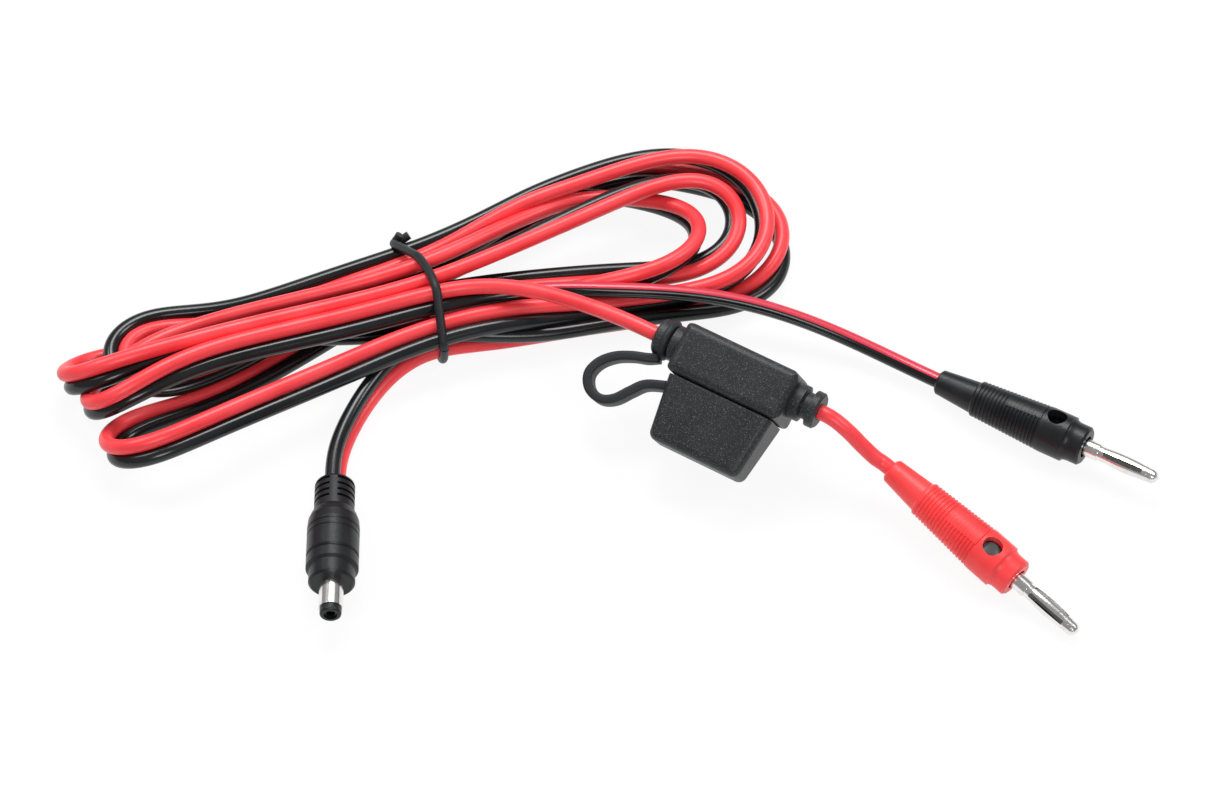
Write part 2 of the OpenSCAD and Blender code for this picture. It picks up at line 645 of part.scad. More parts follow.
module twist_tie()
    color([0.1, 0.1, 0.1]) on_tie() translate([0, 0, (waist_low + waist_top) / 2]) rotate([90, 0, 90])
        linear_extrude(tie_d, center = true) difference() {
            rounded_rect(waist_w + 2 * tie_d, waist_top - waist_low + 2 * tie_d, tie_bend_r + tie_d);
            rounded_rect(waist_w, waist_top - waist_low, tie_bend_r);
        }

dc_handle();
dc_collar();
dc_barrel();
dc_insulator();
dc_contact();
red_shroud();
red_pin();
red_spring();
red_screw();
black_shroud();
black_pin();
black_spring();
black_screw();
holder_body();
fuse_cap();
cap_tether();
fuse_case();
fuse_blades();
terminal_in();
terminal_out();
cable_hank();
dc_lead();
red_lead();
red_plug_lead();
black_lead();
twist_tie();
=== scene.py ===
# %% [markdown]
# A power cable with a barrel plug, two banana plugs and an in-line fuse holder. The hard pieces
# come from the CAD frame and get their finishes here. The soft ones are built in this file: the
# wires of the cable, the tie round the hank and the strap of the fuse cap.

# %% The frame
import math

import bpy
import numpy as np
from mathutils import Matrix, Vector


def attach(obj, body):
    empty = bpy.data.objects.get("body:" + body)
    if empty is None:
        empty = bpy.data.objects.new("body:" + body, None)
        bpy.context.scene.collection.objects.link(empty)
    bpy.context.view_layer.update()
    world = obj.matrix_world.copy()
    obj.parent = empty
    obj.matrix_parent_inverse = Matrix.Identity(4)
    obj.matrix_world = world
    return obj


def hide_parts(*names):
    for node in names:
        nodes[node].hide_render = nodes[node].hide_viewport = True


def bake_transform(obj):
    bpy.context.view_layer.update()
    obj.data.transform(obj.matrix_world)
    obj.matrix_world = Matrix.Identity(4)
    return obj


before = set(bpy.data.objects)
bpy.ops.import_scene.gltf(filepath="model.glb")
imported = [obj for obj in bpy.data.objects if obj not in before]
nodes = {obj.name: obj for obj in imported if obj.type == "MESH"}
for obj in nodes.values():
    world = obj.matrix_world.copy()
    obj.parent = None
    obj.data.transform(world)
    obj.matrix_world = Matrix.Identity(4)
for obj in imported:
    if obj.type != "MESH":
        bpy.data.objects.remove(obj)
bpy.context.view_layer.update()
scene = bpy.context.scene
scene.view_settings.view_transform = "Standard"
MM = 0.001

# %% [markdown]
# The photograph looks down on the bench at a steep angle through a long lens, so the wires at the
# back are hardly smaller than those in front. A camera on a circle round the middle of the layout
# gives that: one distance, one elevation, no shift.

# %% The camera
BENCH = np.array([-28.8, 27.7, 0.0])
CAMERA_RISE = math.radians(55)
CAMERA_AWAY = 900.0


def in_metres(points):
    """Points given in millimetres from the middle of the bench, in the frame's metres."""
    return (np.asarray(points, float) + BENCH) * MM


camera_data = bpy.data.cameras.new("camera")
camera_data.lens = 115
camera_data.sensor_width = 36
camera = bpy.data.objects.new("camera", camera_data)
camera_back = CAMERA_AWAY * math.cos(CAMERA_RISE)
camera_up = CAMERA_AWAY * math.sin(CAMERA_RISE)
camera.location = in_metres([0, -camera_back, camera_up])
camera.rotation_euler = (math.pi / 2 - CAMERA_RISE, 0, 0)
scene.collection.objects.link(camera)
scene.camera = camera
print("camera at", [round(v, 3) for v in camera.location])

# %% [markdown]
# The cable is a twin lead, a red and a black wire side by side, wound in a flat hank and tied in
# the middle. The photograph shows the order of the strands, so the route is laid to follow
# it. A seat is where the pair passes the tie: how far across, how high, and a roll, which says
# which wire is on top. A round end has a centre, a radius, a heading and a sense of turning, its
# height and roll coming in, at the tip and going out, and how far its two strands bow outwards on
# their way to the tie.

# %% The seats at the tie and the round ends
WIRE = 3.6
TIE = np.array([-43.0, 24.0])
TIE_HEADING = math.radians(18)
ACROSS = np.array([-math.sin(TIE_HEADING), math.cos(TIE_HEADING)])
ALONG = np.array([math.cos(TIE_HEADING), math.sin(TIE_HEADING)])
SEATS = [
    (-12.0, 5.4, 188), (8.8, 3.9, -80), (-10.6, 9.6, 56), (14.8, 6.0, 90), (1.6, 7.8, -75),
    (1.8, 12.4, 30), (-4.0, 4.0, 80), (7.6, 10.6, 10), (-4.6, 13.4, 51)]
ROUND_ENDS = [
    (24.5, 44, 17.5, 0, 1, (3.2, 3.4, 3.4), (150, -25, -75), (0, 13)),
    (-106.4, -14.2, 6.6, 208, 1, (2, 6, 12.4), (-80, -10, 45), (-2.6, 0.8)),
    (18, 46, 19.5, 0, 1, (6.5, 9, 11), (20, -60, 60), (0, 3)),
    (-104.4, 10.4, 9, 216, 1, (3.4, 3.4, 5.4), (90, 82, 55), (-2.5, 0)),
    (20.3, 47, 10.5, 5, 1, (5.5, 8, 11.4), (-85, -70, 75), (0, 2)),
    (-117.3, 4.4, 5.2, 212, -1, (15, 6.6, 2), (5, -5, 70), (-0.3, 0)),
    (11.2, 42.8, 10.5, 20, 1, (11.5, 8.5, 5.4), (-45, -15, 50), (3, 11)),
    (-112.6, -1, 5.2, 219, 1, (2.4, 7, 14.6), (35, -15, 40), (7, -2))]


def seat_point(seat):
    """A seat's place on the bench, with its height and roll."""
    across, height, roll = seat
    return np.array([*(TIE + ACROSS * across), height, roll])


def half_turn(start, end, round_end):
    """The points from one seat out round an end, and back to the next. A steep end reaches further."""
    x, y, radius, heading, sense, heights, rolls, bows = round_end
    reach = math.hypot(radius, (heights[2] - heights[0]) / 2)
    ahead = np.array([math.cos(math.radians(heading)), math.sin(math.radians(heading))])
    aside = sense * np.array([-ahead[1], ahead[0]])
    arc = []
    for turn in range(-90, 91, 30):
        side = math.sin(math.radians(turn))
        spot = np.array([x, y]) + ahead * reach * math.cos(math.radians(turn)) + aside * radius * side
        height = np.interp(side, (-1, 0, 1), heights)
        roll = np.interp(turn, (-90, 0, 90), rolls)
        arc.append(np.array([*spot, height, roll]))

    def strand(seat, shoulder, bow):
        """Three points between a seat and the shoulder of the end, bowed outwards."""
        chord = shoulder[:2] - seat[:2]
        outward = np.array([chord[1], -chord[0]]) / np.linalg.norm(chord)
        outward *= np.sign(outward @ (shoulder[:2] - (x, y)))
        points = []
        for share in (0.25, 0.5, 0.75):
            point = seat + (shoulder - seat) * share
            point[:2] += outward * bow * math.sin(math.pi * share ** 2)
            point[2] = seat[2] + (shoulder[2] - seat[2]) * share ** 2 * (3 - 2 * share)
            points.append(point)
        return points

    return strand(start, arc[0], bows[0]) + arc + strand(end, arc[-1], bows[1])[::-1]


seats = [seat_point(seat) for seat in SEATS]
print("hank:", len(seats), "passes of the tie,", len(ROUND_ENDS), "round ends")

# %% [markdown]
# The free stretches use listed points that the CAD source has too: from the barrel plug to the
# hank, from the hank to the fuse holder and to the black plug, and from the holder to the red plug.
# At its ends a lead runs along the axis of the plug that it goes into.

# %% The free stretches
DC_FREE = [(-60, -13, 3.8), (-57, -5.5, 3.7), (-53.5, 1.5, 3.7), (-49.5, 8, 3.9), (-45, 13.5, 4.2)]
DC_ROLL = 195
RED_FREE = [(-31, 23.6, 15.2), (-22, 22, 16.4), (-12, 18, 17.8), (-2, 13, 19.2)]
RED_PLUG_FREE = [(51.2, -17.9, 19.6), (54.5, -19.7, 17.4), (57.6, -21.2, 14.2), (60.8, -22.8, 11.4)]
BLACK_FREE = [
    (-29, 23.2, 11), (-18, 24, 11), (-6, 24.4, 11), (6, 24.4, 11), (18, 24, 10.8),
    (30, 22.6, 10.2), (42, 19.8, 8.4), (53, 16.2, 6.2), (62, 12.4, 4.4)]


def on_axis(origin, direction, *stations):
    """Points along a plug's axis, at these distances from its back end."""
    return [np.array(origin) + np.array(direction) * station for station in stations]


DC_PLUG = ((-61.8, -25.4, 4.68), (0.0174, -0.9954, 0.0941))
HOLDER = ((30, -5.4, 20), (0.8616, -0.5075, 0))
RED_PLUG = ((64.3, -24.9, 9.91), (0.7139, -0.687, -0.1357))
BLACK_PLUG = ((76.9, 3.8, 3.92), (0.8533, -0.5188, 0.0523))
LEAD_IN = 7
HOLDER_NECK = 14.5
HOLDER_END = 21
PIN_BODY = 18.1
pair_route = [np.array([*point, DC_ROLL]) for point in on_axis(*DC_PLUG, 0, -LEAD_IN) + DC_FREE]
pair_route.append(seats[0])
for start, end, round_end in zip(seats, seats[1:], ROUND_ENDS):
    pair_route += half_turn(start, end, round_end)
    pair_route.append(end)
red_tail = RED_FREE + on_axis(*HOLDER, -HOLDER_END - LEAD_IN, -HOLDER_END, -HOLDER_NECK)
black_tail = BLACK_FREE + on_axis(*BLACK_PLUG, -LEAD_IN, 0, PIN_BODY)
red_link = on_axis(*HOLDER, HOLDER_NECK, HOLDER_END) + RED_PLUG_FREE + on_axis(*RED_PLUG, 0, PIN_BODY)
print("route:", len(pair_route), "points for the pair")

# %% [markdown]
# A smooth curve through the points is stepped evenly, and the roll sets the red wire on one side
# of it and the black on the other. Heights and rolls are worn smooth first, the rolls more, since
# a pair twists slowly.

# %% The two wires of the pair
STEP = 2.5
LINK_STEP = 1.5
CUTS = 16
HEIGHT_PASSES = 8
ROLL_PASSES = 60


def even_steps(points, step=STEP):
    """A smooth curve through the points, cut in even steps."""
    points = np.array(points, float)
    ends = np.vstack([2 * points[0] - points[1], points, 2 * points[-1] - points[-2]])
    t = np.linspace(0, 1, CUTS, endpoint=False)[:, None]
    curve = []
    for a, b, c, d in zip(ends, ends[1:], ends[2:], ends[3:]):
        curve.append(0.5 * (2 * b + (c - a) * t + (2 * a - 5 * b + 4 * c - d) * t ** 2
                            + (3 * b - a - 3 * c + d) * t ** 3))
    curve = np.vstack(curve + [points[-1:]])
    run = np.concatenate([[0], np.cumsum(np.linalg.norm(np.diff(curve[:, :3], axis=0), axis=1))])
    stations = np.linspace(0, run[-1], int(round(run[-1] / step)) + 1)
    return np.stack([np.interp(stations, run, column) for column in curve.T], axis=1)


def smoothed(values, passes):
    """The same row of values with its kinks worn down, its ends kept."""
    values = values.copy()
    for _ in range(passes):
        values[1:-1] = (values[:-2] + 2 * values[1:-1] + values[2:]) / 4
    return values


middle = even_steps(pair_route)
height = np.maximum(smoothed(middle[:, 2], HEIGHT_PASSES), WIRE / 2)
roll = np.radians(smoothed(middle[:, 3], ROLL_PASSES))[:, None]
middle = np.column_stack([middle[:, :2], height])
forward = np.gradient(middle, axis=0)
forward /= np.linalg.norm(forward, axis=1)[:, None]
leftward = np.cross([0, 0, 1], forward)
leftward /= np.linalg.norm(leftward, axis=1)[:, None]
upward = np.cross(forward, leftward)
offset = WIRE / 2 * (np.cos(roll) * upward + np.sin(roll) * leftward)
paired = len(middle)
red_start = even_steps(np.vstack([(middle + offset)[-2:], red_tail]))[1:]
black_start = even_steps(np.vstack([(middle - offset)[-2:], black_tail]))[1:]
red_laid = np.vstack([(middle + offset)[:-1], red_start])
black_laid = np.vstack([(middle - offset)[:-1], black_start])
print("pair:", paired, "steps of", STEP, "mm, tails", len(red_start), "and", len(black_start))

# %% [markdown]
# As laid, strands still pass through each other where they cross. Letting them settle pushes
# touching strands apart, keeps the pair side by side and its length, holds everything on the bench
# and takes the kinks out, while a weak pull keeps each point near its place. A fold tighter than
# about two diameters of the wire is opened. The tie runs underneath, so the bench is a little
# higher there.

# %% Settling the strands
TIE_WIRE = 2.1
TIE_SPREAD = 9
ROUNDS = 400
LOOK_EVERY = 8
FOLD = 7.9
FOLD_STEPS = (4, 8)
HELD_AT_START = 4
HELD_AT_END = 6
STIFFNESS = 0.6
PULL_HOME = 0.006
LAST_PASSES = 4


def pulled(points, one, other, apart, share):
    """Moves pairs of points towards this distance from each other, each by a share of the error."""
    gap = points[one] - points[other]
    away = np.maximum(np.linalg.norm(gap, axis=1), 1e-6)
    move = gap * (share * (1 - apart / away))[:, None]
    np.add.at(points, one, -move)
    np.add.at(points, other, move)


def settle(red, black, paired):
    """The two wires with their strands lying on each other instead of through each other."""
    points = np.vstack([red, black])
    wanted = points.copy()
    wires = (slice(0, len(red)), slice(len(red), len(points)))
    place = np.concatenate([np.arange(len(red)), np.arange(len(black))])
    from_end = np.concatenate([np.arange(len(red))[::-1], np.arange(len(black))[::-1]])
    fixed = (place < HELD_AT_START) | (from_end < HELD_AT_END)
    one, other = np.triu_indices(len(points), 1)
    distant = np.abs(place[one] - place[other]) > math.ceil(3 * WIRE / STEP)
    one = one[distant]
    other = other[distant]
    twin = np.arange(paired - 1)
    before = np.flatnonzero(from_end > 0)
    length = np.linalg.norm(points[before + 1] - points[before], axis=1)
    folds = []
    for steps in FOLD_STEPS:
        start = np.flatnonzero(from_end >= steps)
        folds.append((start, start + steps, 2 * FOLD * math.sin(steps * STEP / FOLD / 2)))
    for turn in range(ROUNDS):
        for wire in wires:
            row = points[wire]
            for m in (1, 2):
                beside = row[m:-3 * m] + row[3 * m:-m]
                beyond = row[:-4 * m] + row[4 * m:]
                row[2 * m:-2 * m] += STIFFNESS * (4 * beside - beyond - 6 * row[2 * m:-2 * m]) / 16
        points += PULL_HOME * (wanted - points)
        if turn % LOOK_EVERY == 0:
            near = ((points[one] - points[other]) ** 2).sum(axis=1) < (2 * WIRE) ** 2
            near_one = one[near]
            near_other = other[near]
        for _ in range(3):
            hit = np.linalg.norm(points[near_one] - points[near_other], axis=1) < WIRE
            pulled(points, near_one[hit], near_other[hit], WIRE, share=0.3)
            pulled(points, twin, twin + len(red), WIRE, share=0.4)
            pulled(points, before + 1, before, length, share=0.3)
            for start, end, span in folds:
                tight = np.linalg.norm(points[start] - points[end], axis=1) < span
                pulled(points, start[tight], end[tight], span, share=0.2)
            from_tie = (points[:, :2] - TIE) @ ALONG
            bench = WIRE / 2 + TIE_WIRE * np.exp(-(from_tie / TIE_SPREAD) ** 2)
            points[:, 2] = np.maximum(points[:, 2], bench)
            points[fixed] = wanted[fixed]
    for wire in wires:
        points[wire] = smoothed(points[wire], LAST_PASSES)
    closest = np.linalg.norm(points[near_one] - points[near_other], axis=1).min()
    return points[wires[0]], points[wires[1]], closest


def tightest_bend(points):
    """The smallest radius along a wire, in millimetres."""
    first = np.gradient(points, axis=0)
    second = np.gradient(first, axis=0)
    bend = np.linalg.norm(np.cross(first, second), axis=1) / np.linalg.norm(first, axis=1) ** 3
    return 1 / bend[3:-3].max()


red_wire, black_wire, closest = settle(red_laid, black_laid, paired)
link_wire = even_steps(red_link, LINK_STEP)
print("settled: nearest strands", round(closest, 2), "mm, tightest bends",
      round(tightest_bend(red_wire), 1), round(tightest_bend(black_wire), 1), "mm")

# %% [markdown]
# A finish is a small tree of shader nodes. Written as nodes and links it is hard to read, so one
# class wraps a socket: sums on it add Math nodes, and one method adds any other node.

# %% Shader sums in Python
class Ink:
    """One socket in a material's tree. Sums on it add Math nodes."""

    def __init__(self, tree, socket=None):
        self.tree = tree
        self.socket = socket

    def node(self, kind, settings=None, sockets=None, out=0):
        """A node of this kind, its settings made first, then its sockets filled or linked."""
        made = self.tree.nodes.new(kind)
        for name, value in (settings or {}).items():
            setattr(made, name, value)
        for name, value in (sockets or {}).items():
            if isinstance(value, Ink):
                self.tree.links.new(value.socket, made.inputs[name])
            else:
                made.inputs[name].default_value = value
        return Ink(self.tree, made.outputs[out])

    def sum(self, operation, first, second):
        """A Math node on two values."""
        return self.node("ShaderNodeMath", {"operation": operation}, {0: first, 1: second})

    def __add__(self, other):
        return self.sum("ADD", self, other)

    def __sub__(self, other):
        return self.sum("SUBTRACT", self, other)

    def __rsub__(self, other):
        return self.sum("SUBTRACT", other, self)

    def __mul__(self, other):
        return self.sum("MULTIPLY", self, other)

    def ramp(self, low, high, soft=True):
        """0 below low, 1 above high, smooth between."""
        kind = "SMOOTHSTEP" if soft else "LINEAR"
        return self.node("ShaderNodeMapRange", {"interpolation_type": kind},
                         {"Value": self, "From Min": low, "From Max": high})

    def blend(self, first, second):
        """The first colour where this is 0 and the second where it is 1."""
        return self.node("ShaderNodeMix", {"data_type": "RGBA"}, {0: self, 6: first, 7: second}, 2)


class Finish:
    """A material with its surface shader, and what the patterns on it start from."""

    def __init__(self, name, plain):
        self.material = bpy.data.materials.new(name)
        self.material.use_nodes = True
        self.tree = self.material.node_tree
        self.shader = self.tree.nodes["Principled BSDF"]
        self.ink = Ink(self.tree)
        self.place = self.ink.node("ShaderNodeTexCoord", out="Object")
        for socket, value in plain.items():
            self.shader.inputs[socket].default_value = value

    def noise(self, size, detail=2.0):
        """Cloudy values from 0 to 1, with spots about this many metres across."""
        return self.ink.node("ShaderNodeTexNoise", None,
                             {"Vector": self.place, "Scale": 1 / size, "Detail": detail})

    def attribute(self, name):
        """A value that the mesh stores at its points."""
        return self.ink.node("ShaderNodeAttribute", {"attribute_name": name}, out="Fac")

    def feed(self, socket, value):
        """Links a value to a socket of the surface shader."""
        self.tree.links.new(value.socket, self.shader.inputs[socket])

    def bump(self, height, depth):
        """Raises the surface by depth metres where height is 1."""
        raised = self.ink.node("ShaderNodeBump", None, {"Height": height, "Distance": depth})
        self.feed("Normal", raised)


print("shader helper ready")

# %% [markdown]
# The wires are sleeved in soft vinyl: shiny, a little uneven from the extruder, and lightly dusty.
# Colour and roughness vary slowly along them. Where the pair is torn apart a wire keeps a thin
# ridge of the web, and the black wire carries a red stripe on its upper side there. The tubes bring
# attributes for that: how far along a point is, and how far it lies to the right and upwards. The
# sleeve of the tie and the strap of the fuse cap are a duller black.

# %% Vinyl and rubber
RED_VINYL = (0.93, 0.060, 0.072, 1)
RED_VINYL_DEEP = (0.84, 0.036, 0.046, 1)
BLACK_VINYL = (0.005, 0.006, 0.007, 1)
BLACK_VINYL_DUSTY = (0.011, 0.013, 0.014, 1)
STRIPE = (0.62, 0.040, 0.072, 1)
STRIPE_UP = 0.74
STRIPE_LEFT = 0.67
VINYL_SHINE = 0.45
RUBBER_SHINE = 0.3
PARTING_FADE = 0.01


def vinyl(name, colour, second, rough, split=None, stripe=None):
    """A wire's sleeve. Past split metres it shows its torn edge, and a stripe if it has one."""
    finish = Finish(name, {"Specular IOR Level": VINYL_SHINE})
    cloud = finish.noise(0.012)
    grain = finish.noise(0.0008)
    base = cloud.ramp(0.35, 0.75).blend(colour, second)
    height = grain * 0.08 + finish.noise(0.008) * 0.8
    if split is not None:
        parted = finish.attribute("along").ramp(split, split + PARTING_FADE)
        right = finish.attribute("right")
        height = height + right.ramp(0.90, 0.99) * parted * 8
        if stripe is not None:
            back = finish.attribute("upward") * STRIPE_UP - right * STRIPE_LEFT
            base = (back.ramp(0.32, 0.42) * parted).blend(base, stripe)
    finish.feed("Base Color", base)
    finish.feed("Roughness", cloud * 0.10 + grain * 0.04 + (rough - 0.07))
    finish.bump(height, 0.00002)
    return finish.material


def rubber(name, colour, worn, cloud_size, rough, cloud_share, grain_share, depth):
    """A dull, finely grained sleeve or strap."""
    finish = Finish(name, {"Specular IOR Level": RUBBER_SHINE})
    grain = finish.noise(0.0005, 3.0)
    cloud = finish.noise(cloud_size)
    finish.feed("Base Color", cloud.blend(colour, worn))
    finish.feed("Roughness", cloud * cloud_share + grain * grain_share + rough)
    finish.bump(grain, depth)
    return finish.material


parting = (paired - 1) * STEP * MM
red_vinyl = vinyl("red_vinyl", RED_VINYL, RED_VINYL_DEEP, rough=0.34, split=parting)
black_vinyl = vinyl("black_vinyl", BLACK_VINYL, BLACK_VINYL_DUSTY,
                    rough=0.20, split=parting, stripe=STRIPE)
link_vinyl = vinyl("link_vinyl", RED_VINYL, RED_VINYL_DEEP, rough=0.34)
print("vinyl: red and black, parted at", round(parting, 3), "m")

# %% [markdown]
# A wire is a round tube along its path. Geometry Nodes sweep a circle along the line, keep the
# profile upright so that a stripe stays on top, and store where on the tube each point is.

# %% The tube that makes a wire
def add_node(tree, kind, settings=None, **links):
    """A node with its settings, and its sockets filled from values or from other sockets."""
    made = tree.nodes.new(kind)
    for name, value in (settings or {}).items():
        setattr(made, name, value)
    for name, value in links.items():
        socket = made.inputs[name.replace("_", " ")]
        if isinstance(value, bpy.types.NodeSocket):
            tree.links.new(value, socket)
        else:
            socket.default_value = value
    return made


def tube_tree():
    """Geometry Nodes that turn a line of points into a closed tube with its own coordinates."""
    tree = bpy.data.node_groups.new("tube", "GeometryNodeTree")
    face = tree.interface
    face.new_socket("Line", in_out="INPUT", socket_type="NodeSocketGeometry")
    face.new_socket("Radius", in_out="INPUT", socket_type="NodeSocketFloat")
    face.new_socket("Sides", in_out="INPUT", socket_type="NodeSocketInt")
    face.new_socket("Finish", in_out="INPUT", socket_type="NodeSocketMaterial")
    face.new_socket("Tube", in_out="OUTPUT", socket_type="NodeSocketGeometry")
    entry = tree.nodes.new("NodeGroupInput").outputs
    line = add_node(tree, "GeometryNodeMeshToCurve", Mesh=entry["Line"]).outputs[0]
    smooth = {"spline_type": "CATMULL_ROM"}
    line = add_node(tree, "GeometryNodeCurveSplineType", smooth, Curve=line).outputs[0]
    line = add_node(tree, "GeometryNodeSetSplineResolution", Geometry=line, Resolution=2).outputs[0]
    line = add_node(tree, "GeometryNodeSetCurveNormal", {"mode": "Z_UP"}, Curve=line).outputs[0]
    run = tree.nodes.new("GeometryNodeSplineParameter").outputs
    keep = {"data_type": "FLOAT", "domain": "POINT"}
    line = add_node(tree, "GeometryNodeStoreNamedAttribute", keep,
                    Geometry=line, Name="along", Value=run["Length"]).outputs[0]
    ring = add_node(tree, "GeometryNodeCurvePrimitiveCircle", {"mode": "RADIUS"},
                    Resolution=entry["Sides"], Radius=entry["Radius"]).outputs[0]
    angle = add_node(tree, "ShaderNodeMath", {"operation": "MULTIPLY"})
    tree.links.new(run["Factor"], angle.inputs[0])
    angle.inputs[1].default_value = 2 * math.pi
    for name, operation, sign in (("right", "COSINE", 1), ("upward", "SINE", -1)):
        turn = add_node(tree, "ShaderNodeMath", {"operation": operation})
        tree.links.new(angle.outputs[0], turn.inputs[0])
        wave = add_node(tree, "ShaderNodeMath", {"operation": "MULTIPLY"})
        tree.links.new(turn.outputs[0], wave.inputs[0])
        wave.inputs[1].default_value = sign
        ring = add_node(tree, "GeometryNodeStoreNamedAttribute", keep,
                        Geometry=ring, Name=name, Value=wave.outputs[0]).outputs[0]
    tube = add_node(tree, "GeometryNodeCurveToMesh",
                    Curve=line, Profile_Curve=ring, Fill_Caps=True).outputs[0]
    tube = add_node(tree, "GeometryNodeSetShadeSmooth", Geometry=tube).outputs[0]
    tube = add_node(tree, "GeometryNodeRealizeInstances", Geometry=tube).outputs[0]
    tube = add_node(tree, "GeometryNodeSetMaterial", Geometry=tube, Material=entry["Finish"]).outputs[0]
    tree.links.new(tube, tree.nodes.new("NodeGroupOutput").inputs[0])
    return tree


def as_object(name, points, edges=(), faces=()):
    """A mesh object from points in the frame's metres."""
    mesh = bpy.data.meshes.new(name)
    mesh.from_pydata([tuple(p) for p in points], [tuple(e) for e in edges], [tuple(f) for f in faces])
    piece = bpy.data.objects.new(name, mesh)
    scene.collection.objects.link(piece)
    return piece


def grown(piece, tree, **inputs):
    """Runs a Geometry Nodes tree on a piece and keeps the result as its plain mesh."""
    modifier = piece.modifiers.new(tree.name, "NODES")
    modifier.node_group = tree
    for item in tree.interface.items_tree:
        if item.in_out == "INPUT" and item.name in inputs:
            modifier[item.identifier] = inputs[item.name]
    ready = piece.evaluated_get(bpy.context.evaluated_depsgraph_get())
    mesh = bpy.data.meshes.new_from_object(ready)
    piece.modifiers.clear()
    piece.data = mesh
    mesh.name = piece.name
    return piece


TUBE = tube_tree()


def tube(name, path, radius, finish, sides=20):
    """A round tube along a path in metres."""
    line = as_object(name, path, edges=[(i, i + 1) for i in range(len(path) - 1)])
    return grown(line, TUBE, Radius=radius, Sides=sides, Finish=finish)


print("tube tree:", len(TUBE.nodes), "nodes")

# %% [markdown]
# Three cords come from it. The red and the black one run from the barrel plug through the hank to
# the fuse holder and to the black plug. The short red one links the holder with the red plug. All
# of each cord is in the photograph, so its length is the length of its route.

# %% The three cords
def cord(name, wire, finish, replaced):
    """A wire of the cable, from one fitting to the next."""
    path = in_metres(wire)
    piece = tube(name, path, WIRE / 2 * MM, finish)
    length = round(float(np.linalg.norm(np.diff(path, axis=0), axis=1).sum()), 2)
    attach(piece, "cable")
    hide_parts(*replaced)
    print(name, length, "m,", len(piece.data.polygons), "faces")


cord("red_cord", red_wire, red_vinyl,
     ("cable_hank", "dc_lead", "red_lead"))
cord("black_cord", black_wire, black_vinyl, ("black_lead",))
cord("link_cord", link_wire, link_vinyl, ("red_plug_lead",))

# %% [markdown]
# The tie is a short black wire in a plastic sleeve, bent round the waist of the hank and twisted
# behind it, with its two cut ends standing off a little. It lies on whatever strands are outermost,
# so its path is worked out from them: the rim of the section through the hank at the tie. It leans
# a little along the hank as it goes round, and bows above the strands.

# %% The twist tie
WAIST = 30
TIE_PRESS = 0.4
TIE_STEP = 0.8
TIE_PASSES = 10
LONG_END = np.array([(0.7, 2.6), (0.6, 1.6), (0.4, 0.6)])
LONG_END_LEAN = (0.2, -0.3, -1.2)
SHORT_END = np.array([(0.5, 0.0), (0.9, 0.5), (1.0, 1.2)])
SHORT_END_LEAN = (-0.6, 1.0, 2.4)


def section_at_tie():
    """Where the strands pass the tie: across and height of each."""
    found = []
    for wire in (red_wire, black_wire):
        from_tie = (wire[:, :2] - TIE) @ ALONG
        across = (wire[:, :2] - TIE) @ ACROSS
        for i in np.flatnonzero(np.diff(np.sign(from_tie))):
            share = from_tie[i] / (from_tie[i] - from_tie[i + 1])
            if abs(across[i]) < WAIST:
                found.append((across[i] + share * (across[i + 1] - across[i]),
                              wire[i, 2] + share * (wire[i + 1, 2] - wire[i, 2])))
    return np.array(found)


def rim(section, clear):
    """The line round all strands at this distance from their middles."""
    turn = np.radians(np.arange(0, 361, 6))
    way = np.column_stack([np.cos(turn), np.sin(turn)])
    reach = (section @ way.T).argmax(axis=0)
    return section[reach] + way * clear


strands = section_at_tie()
round_waist = rim(strands, (WIRE + TIE_WIRE) / 2 - TIE_PRESS)
first = round_waist[0]
tie_line = np.vstack([first + LONG_END, round_waist[1:-1], first + SHORT_END])
over = np.interp(tie_line[:, 0], (-13, -5, 6, 17), (0.6, 2.4, 2.2, -1.8))
under = np.interp(tie_line[:, 0], (-13, 17), (0.6, -1.8))
lean = np.where(tie_line[:, 1] > strands[:, 1].mean(), over, under)
lean[:3] = LONG_END_LEAN
lean[-3:] = SHORT_END_LEAN
tie_points = np.column_stack([TIE + tie_line[:, :1] * ACROSS + lean[:, None] * ALONG, tie_line[:, 1]])
tie_points = smoothed(even_steps(tie_points, TIE_STEP), TIE_PASSES)

tie_sleeve = rubber("tie_sleeve", (0.009, 0.010, 0.012, 1), (0.020, 0.022, 0.025, 1),
                    cloud_size=0.004, rough=0.36, cloud_share=0.15, grain_share=0.0, depth=0.00003)
twist_tie = tube("tie_wire", in_metres(tie_points), TIE_WIRE / 2 * MM, tie_sleeve, sides=14)
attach(twist_tie, "cable")
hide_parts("twist_tie")
print("tie round", len(strands), "strands, low at", round(tie_points[:, 2].min(), 2), "mm")

# %% [markdown]
# A soft strap keeps the fuse cap with the holder: a ring round the wire's neck, a loop, and a tab
# on the cap. It is a flat band along one curve in the holder's own plane, with rounded edges. When
# the cap is pulled off the strap straightens.

# %% The strap of the fuse cap
HOLDER_YAW = math.radians(-30.5)
HOLDER_TILT = math.radians(117)
HOLDER_TURN = Matrix.Rotation(HOLDER_YAW, 4, "Z") @ Matrix.Rotation(HOLDER_TILT, 4, "X")
SOFT_EDGE = 0.55
NARROWING = 0.06
STRAP_W = 5.0
STRAP_T = 2.2
STRAP_LINE = [
    (-18.1, 4.7), (-20.9, 6), (-24.1, 7), (-27.7, 8.8), (-30.5, 11.6), (-31.5, 15),
    (-29.7, 18), (-26.3, 19), (-23.3, 17.6), (-20.7, 14.4), (-18.1, 11.6), (-13.3, 9.7)]


def on_holder(x, y, z):
    """A point of the fuse holder's own axes, in the frame's metres."""
    return in_metres(np.array(HOLDER_TURN @ Vector((x, y, z))) + np.array(HOLDER[0]))


